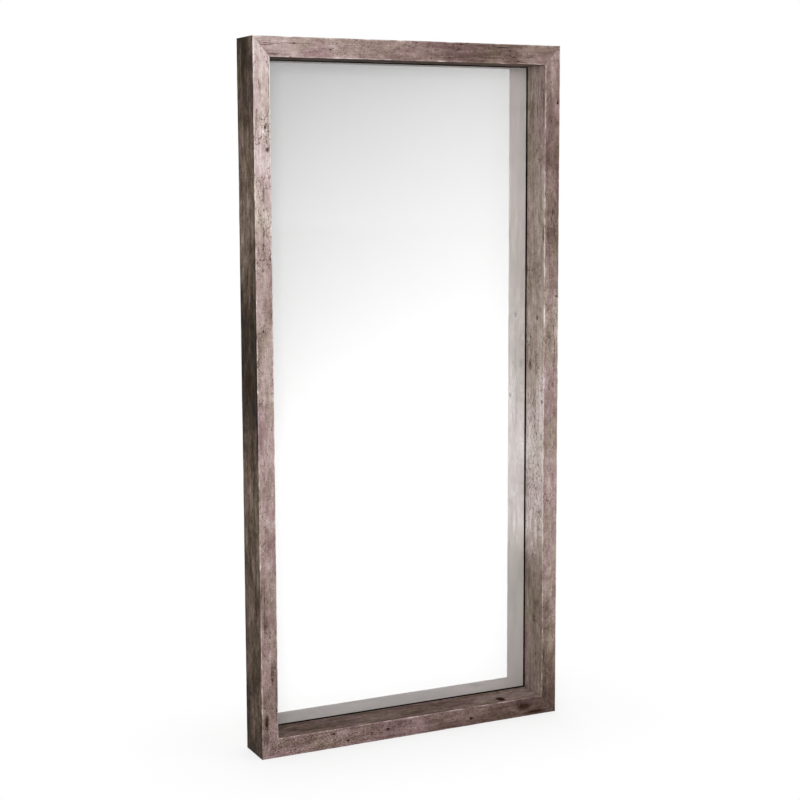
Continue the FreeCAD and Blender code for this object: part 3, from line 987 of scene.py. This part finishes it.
def fibreboard():
    """Pressed board: brown flakes, tangled pale fibres, dark specks, scuffs and handling stains."""
    bench = new_material("fibreboard")
    fibre = bench.noise(380.0, 380.0, 2.0, 8.0, 0.75, 3.0)
    dust = bench.noise(2600.0, 2600.0, 5.0, 3.0, 0.7)
    stain = bench.noise(5.0, 4.0, 9.0, 6.0, 0.65)
    scuff = bench.noise(14.0, 90.0, 12.0, 6.0, 0.75, 1.5).step(0.6, 0.74)
    flake = bench.noise(85.0, 85.0, 14.0, 6.0, 0.85)
    speck = pits(bench, 260.0, 260.0, 3.0, 0.3)
    light = 0.5 + fibre.swing(0.9) + dust.swing(0.4) + stain.swing(0.6) + flake.swing(1.1)
    light = light - speck * 0.35 + scuff * 0.16
    return bench.finish(
        Base_Color=bench.blend(light, DARK_FIBRE, PALE_FIBRE),
        Roughness=(0.66 + stain.swing(0.4) + fibre.swing(0.2)).kept(),
        Normal=bench.bump(fibre * 0.6 + dust * 0.4 - speck * 0.5, 0.12 * MM),
    )


# %% The finishes that the frame hides
def planed_beech():
    """The loose tongues: planed pale hardwood with short dark flecks."""
    bench = new_material("planed_beech", Y)
    grain = bench.noise(300.0, 20.0, 2.0, 4.0)
    fleck = bench.noise(900.0, 200.0, 4.0, 2.0).step(0.62, 0.72)
    darker = grain * 0.8 + fleck * 0.3
    return bench.finish(
        Base_Color=bench.blend(darker, colour(206, 170, 128), colour(158, 118, 80)),
        Roughness=(0.55 + grain * 0.2).kept(),
        Normal=bench.bump(grain, 0.1 * MM),
    )


def milky_film():
    """The safety film: pale grey plastic with a faint woven pattern and small bubbles."""
    bench = new_material("milky_film")
    weave = bench.noise(900.0, 900.0, 1.0, 1.0)
    bubble = bench.cells(bench.place(60.0, 60.0, 3.0)).step(0.12, 0.05)
    paler = weave * 0.5 + bubble * 0.5
    return bench.finish(
        Base_Color=bench.blend(paler, colour(196, 198, 202), colour(224, 226, 228)),
        Roughness=(0.4 + weave * 0.2).kept(),
        Normal=bench.bump(bubble + weave * 0.1, 0.1 * MM),
    )


# %% Give the solids their finishes
finishes = {
    "zinc_steel": zinc_steel(),
    "nickel_steel": nickel_steel(),
    "rubber": matte_rubber("bumper_rubber", 1500.0),
    "foam": matte_rubber("foam_tape", 2600.0),
    "fibreboard": fibreboard(),
    "tongue_beech": planed_beech(),
    "safety_film": milky_film(),
}
for subpart in frame["record"]["subparts"]:
    node = frame["nodes"][subpart["node"]]
    finish = finishes.get(subpart["material_slot"])
    if finish:
        node.data.materials.clear()
        node.data.materials.append(finish)
print("finishes:", ", ".join(finishes))

# %% [markdown]
# ## The hanging rings
#
# Each ring is one length of wire, bent into a D. A circle carried along the D gives a smooth wire, with
# the straight side inside the strap's loop.

# %% Rings of wire
WIRE_STEPS = 20
BEND_STEPS = 10
RING_SIDE_GAP = 1.0 * MM
RING_CORNER = 2.5 * MM


def d_path(half_bar):
    """Places and directions along a D in the XZ plane: a tight bend, the half circle and the other
    tight bend, closed by the straight bar. A bend's point at angle t is its centre plus its radius
    times (cos t, sin t)."""
    right = np.linspace(math.pi / 2, 0, BEND_STEPS)
    bottom = np.linspace(0, -math.pi, BEND_STEPS * 4)[1:-1]
    left = np.linspace(math.pi, math.pi / 2, BEND_STEPS)
    half_ring = half_bar + RING_CORNER
    bends = [(half_bar, RING_CORNER, right), (0.0, half_ring, bottom), (-half_bar, RING_CORNER, left)]
    path = np.concatenate([
        np.stack([centre + radius * np.cos(angle), radius * np.sin(angle) - RING_CORNER], axis=-1)
        for centre, radius, angle in bends
    ])
    tangent = np.roll(path, -1, axis=0) - np.roll(path, 1, axis=0)
    return path, tangent / np.linalg.norm(tangent, axis=1, keepdims=True)


def make_ring(name, body):
    """The wire of one ring, hung from the joint's own axis and tilted as its solid is. The solid's
    drop below the axis over the ring's own length is the cosine of the tilt."""
    joint = next(joint for joint in frame["joints"] if joint["child"] == body)
    low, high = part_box(name)
    strap_low, strap_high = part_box(name.replace("hanging_ring", "hanger_strap"))
    half_bar = (strap_high[X] - strap_low[X]) / 2 + RING_SIDE_GAP
    wire = (high[X] - low[X]) / 2 - half_bar - RING_CORNER
    path, tangent = d_path(half_bar)
    angle = np.linspace(0, 2 * math.pi, WIRE_STEPS, endpoint=False)[:, None]
    side = np.insert(tangent[:, ::-1] * (1, -1), 1, 0.0, axis=1)[:, None]
    centre = np.insert(path, 1, 0.0, axis=1)[:, None]
    out = np.array([0.0, 1.0, 0.0])
    points = centre + wire * (side * np.cos(angle) + out * np.sin(angle))
    hang = -(path[:, 1].min() - wire)
    drop = joint["pos_m"][Z] - low[Z]
    tilt = math.acos(min((drop - wire) / (hang - wire), 1.0))
    turned = points @ np.array(Matrix.Rotation(tilt, 3, "X")).T + np.array(joint["pos_m"])
    faces = grid_faces(len(path), WIRE_STEPS, is_loop=True)
    piece = add_piece(name + "_wire", turned, faces, finishes["nickel_steel"], body)
    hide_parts(name)
    print(name, "wire", round(wire / MM, 3), "mm, tilt", round(math.degrees(tilt), 2))


make_ring("left_hanging_ring", "left_ring")
make_ring("right_hanging_ring", "right_ring")

# %% [markdown]
# ## Rubber bumpers
#
# A bumper is moulded: a cone with a soft edge and a shallow dish in its face.

# %% Bumpers
BUMPER_TAPER = 1.0 * MM
BUMPER_EDGE = 1.2 * MM
DISH_DEPTH = 0.5 * MM
POLE_SHARE = 0.02
EDGE_STEPS = 7
DISH_STEPS = 10
TURN_STEPS = 48


def bumper_outline(base, height):
    """Radius and height along a bumper. From the base the radius shrinks evenly to the soft edge,
    which is a quarter circle, and the face sinks towards the middle as a cosine."""
    flat = base - BUMPER_TAPER - BUMPER_EDGE
    bend = np.linspace(0, math.pi / 2, EDGE_STEPS)
    rim = np.stack([flat + BUMPER_EDGE * np.cos(bend), height - BUMPER_EDGE * (1 - np.sin(bend))], axis=-1)
    inwards = np.linspace(1, POLE_SHARE, DISH_STEPS)[1:]
    sunk = DISH_DEPTH * (0.5 + 0.5 * np.cos(math.pi * inwards))
    dish = np.stack([flat * inwards, height - sunk], axis=-1)
    return np.concatenate([[(base * POLE_SHARE, 0.0), (base, 0.0)], rim, dish])


def make_bumper(name):
    """A bumper's outline turned round its axis."""
    low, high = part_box(name)
    outline = bumper_outline((high[X] - low[X]) / 2, high[Y] - low[Y])
    angle = np.linspace(0, 2 * math.pi, TURN_STEPS, endpoint=False)[:, None]
    radius, out = outline.T
    across = (low[X] + high[X]) / 2 + radius * np.cos(angle)
    up = (low[Z] + high[Z]) / 2 + radius * np.sin(angle)
    points = np.stack(np.broadcast_arrays(across, low[Y] + out, up), axis=-1)
    faces = grid_faces(TURN_STEPS, len(outline))
    piece = add_piece(name + "_rubber", points, faces, finishes["rubber"], "frame")
    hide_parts(name)
    return piece


bumpers = [make_bumper(name) for name in frame["nodes"] if name.endswith("wall_bumper")]
print(len(bumpers), "bumpers")

# %% [markdown]
# ## Floor, backdrop and light
#
# The photograph's ground is pure white. The floor keeps the mirror's soft shadow close to it and turns
# to plain white further off, and the world is white wherever it is seen. Behind the camera a real
# studio is darker higher up, and the mirror shows that as a soft grey. Floor and world take their
# brightness in reflections from one rule, so that no horizon shows in the glass. An even sky and large
# lamps that no mirror sees light the object itself.

# %% The studio as reflections show it
GREY_SHARE = 0.9
MOST_GREY_SHARE = 0.67
GREY_LEAN = 0.4
STEEPER_FROM = 0.3
STEEPER_LEAN = 0.25
GREY_START = -0.405
GREY_END = 0.025
BEHIND_START = -0.3
BEHIND_END = -0.7


def shows(bench):
    """1 where a thing is seen by the camera, in a reflection or through glass, and 0 where it only
    lights the object."""
    return (bench.ray("Camera") + bench.ray("Glossy") + bench.ray("Transmission")).kept()


def studio_glow(bench, direction, kind):
    """The studio's own brightness, as a shader: white, and in reflections greyer behind the camera, the
    higher up and the further left the direction points."""
    side, away, height = [bench.part(direction, axis) for axis in (X, Y, Z)]
    height = height - side * GREY_LEAN - (side - STEEPER_FROM).at_least(0.0) * STEEPER_LEAN
    dimmed = (height.step(GREY_START, GREY_END) * GREY_SHARE).at_most(MOST_GREY_SHARE)
    dimmed = dimmed * away.step(BEHIND_START, BEHIND_END) * bench.ray("Glossy")
    white, black = [bench.node(kind, {}, {"Color": grey(level), "Strength": level}) for level in (1.0, 0.0)]
    return bench.node("ShaderNodeMixShader", {}, {0: dimmed, 1: white, 2: black})


# %% Floor
FLOOR_RADIUS = 40.0
FIRST_HOOP = 0.2
SPOKES = 64
HOOPS = 24
SHADOW_REACH = 0.4
SHADOW_SHARE = 0.32
FLOOR_PAINT = grey(0.92)
GLASS_MIDDLE = (0.0, 0.0, 1.0)


def studio_floor():
    """White where it is seen, keeping a share of its real shading near the object."""
    bench = new_material("studio_floor")
    place = bench.coordinates()
    beside = (abs(bench.part(place, X)) - HALF_WIDTH).at_least(0.0)
    before = (abs(bench.part(place, Y)) - BACK).at_least(0.0)
    distance = (beside ** 2.0 + before ** 2.0).maths("SQRT")
    white = 1.0 - distance.step(SHADOW_REACH, 0.0) * bench.ray("Camera") * SHADOW_SHARE
    outward = bench.vector("SUBTRACT", {0: place, 1: GLASS_MIDDLE})
    glow = studio_glow(bench, bench.vector("NORMALIZE", {0: outward}), "ShaderNodeEmission")
    real = bench.node("ShaderNodeBsdfDiffuse", {}, {"Color": FLOOR_PAINT})
    return bench.end(bench.node("ShaderNodeMixShader", {}, {0: shows(bench) * white, 1: real, 2: glow}))


def make_floor(material):
    """A disc of spokes and hoops. Each hoop is a fixed number of times as large as the one inside. The
    last face of the grid would close the disc over itself, so it is left out."""
    radii = np.geomspace(FIRST_HOOP, FLOOR_RADIUS, HOOPS)
    angles = np.linspace(0, 2 * math.pi, SPOKES, endpoint=False)[:, None]
    points = np.stack(np.broadcast_arrays(np.cos(angles) * radii, np.sin(angles) * radii, 0.0), axis=-1)
    faces = grid_faces(SPOKES, HOOPS, flipped=True)
    add_mesh("studio_floor", points, faces[:-1], material)


make_floor(studio_floor())
print("floor", FLOOR_RADIUS, "m in radius")

# %% World
SKY_ON_OBJECT = 0.7

world = bpy.data.worlds.new("studio")
bpy.context.scene.world = world
sky = Bench(world)
backdrop = studio_glow(sky, sky.node("ShaderNodeTexCoord", output="Generated"), "ShaderNodeBackground")
ambient = sky.node("ShaderNodeBackground", {}, {"Color": grey(1.0), "Strength": SKY_ON_OBJECT})
sky.end(sky.node("ShaderNodeMixShader", {}, {0: shows(sky), 1: ambient, 2: backdrop}))
print("sky", SKY_ON_OBJECT)

# %% Lamps
MIDDLE = (0.0, 0.0, HEIGHT / 2)
LAMPS = {
    "key": ((-1.9, -3.5, 2.2), 1.8, 86.0),
    "fill": ((2.8, -2.6, 1.4), 2.0, 26.0),
    "behind": ((0.5, 3.0, 2.4), 2.0, 30.0),
}


def soft_lamp(name, place, size, power):
    """A square lamp turned towards the mirror's middle, which shows in no reflection."""
    data = bpy.data.lights.new(name, "AREA")
    data.size = size
    data.energy = power
    lamp = new_object(name, data)
    lamp.location = place
    way = np.array(MIDDLE) - np.array(place)
    level = math.hypot(*way[:2])
    lamp.rotation_euler = (math.atan2(level, -way[2]), 0, math.atan2(-way[0], way[1]))
    lamp.visible_glossy = False


for lamp_name, (lamp_place, lamp_size, lamp_power) in LAMPS.items():
    soft_lamp(lamp_name, lamp_place, lamp_size, lamp_power)
print("lamps:", ", ".join(LAMPS))

view_settings = bpy.context.scene.view_settings
view_settings.view_transform = "Standard"
